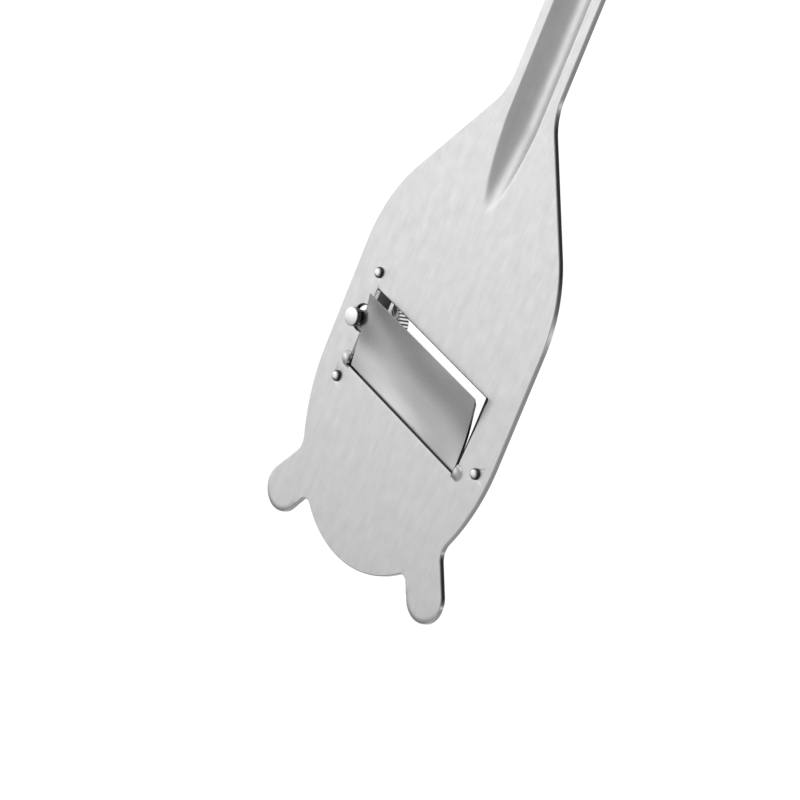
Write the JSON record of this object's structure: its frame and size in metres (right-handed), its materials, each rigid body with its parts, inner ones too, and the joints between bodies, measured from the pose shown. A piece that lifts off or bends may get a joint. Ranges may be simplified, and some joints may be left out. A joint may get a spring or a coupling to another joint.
{
  "type": "truffle slicer",
  "caption": "Hand-held steel slicer: a round-shouldered plate with a slanted window, a hinged blade set by a screw and knurled nut, and a channelled handle with a hanging hole.",
  "frame": {"origin": "middle of the whole slicer seen from above, at the level of the knurled nut's back face, which is its lowest point", "axes": "+Z out of the slicing face, +Y from the feet to the handle's end, +X to the right seen from above with the handle away, so the nut is on the -X side"},
  "size_m": [0.086, 0.2238, 0.017],
  "materials": {
    "plate_steel": "fine brushed satin along the plate",
    "blade_steel": "satin, ground underneath at the cutting edge",
    "bridge_steel": "plain rolled strip",
    "rivet_steel": "polished",
    "screw_steel": "polished",
    "spring_steel": "drawn wire",
    "nut_steel": "turned and knurled"
  },
  "bodies": {
    "frame": {"body_plate": "plate_steel", "screw_bridge": "bridge_steel", "hinge_keeper": "bridge_steel", "rivet_upper_left": "rivet_steel", "rivet_lower_left": "rivet_steel", "rivet_right": "rivet_steel", "adjusting_spring": "spring_steel", "nut_washer": "bridge_steel"},
    "blade": {"blade": "blade_steel", "hinge_rod": "screw_steel"},
    "screw": {"adjusting_screw": "screw_steel"},
    "nut": {"knurled_nut": "nut_steel"}
  },
  "joints": [
    {"name": "nut_spin", "type": "hinge", "parent": "frame", "child": "nut", "pos_m": [-0.0312, -0.0449, 0.00225], "axis": [0, 0, 1], "range_deg": [0, 1865]},
    {"name": "screw_travel", "type": "slide", "parent": "frame", "child": "screw", "axis": [0, 0, 1], "range_m": [-0.00259, 0]},
    {"name": "blade_tilt", "type": "hinge", "parent": "frame", "child": "blade", "pos_m": [0, -0.06245, 0.01015], "axis": [0.9895, -0.1444, 0], "range_deg": [-9.26, 0], "deforming": ["adjusting_spring"]}
  ],
  "couplings": [
    {"joint": "screw_travel", "follows": "nut_spin", "m_per_rad": -0.000079577},
    {"joint": "blade_tilt", "follows": "nut_spin", "ratio": -0.0049651}
  ]
}
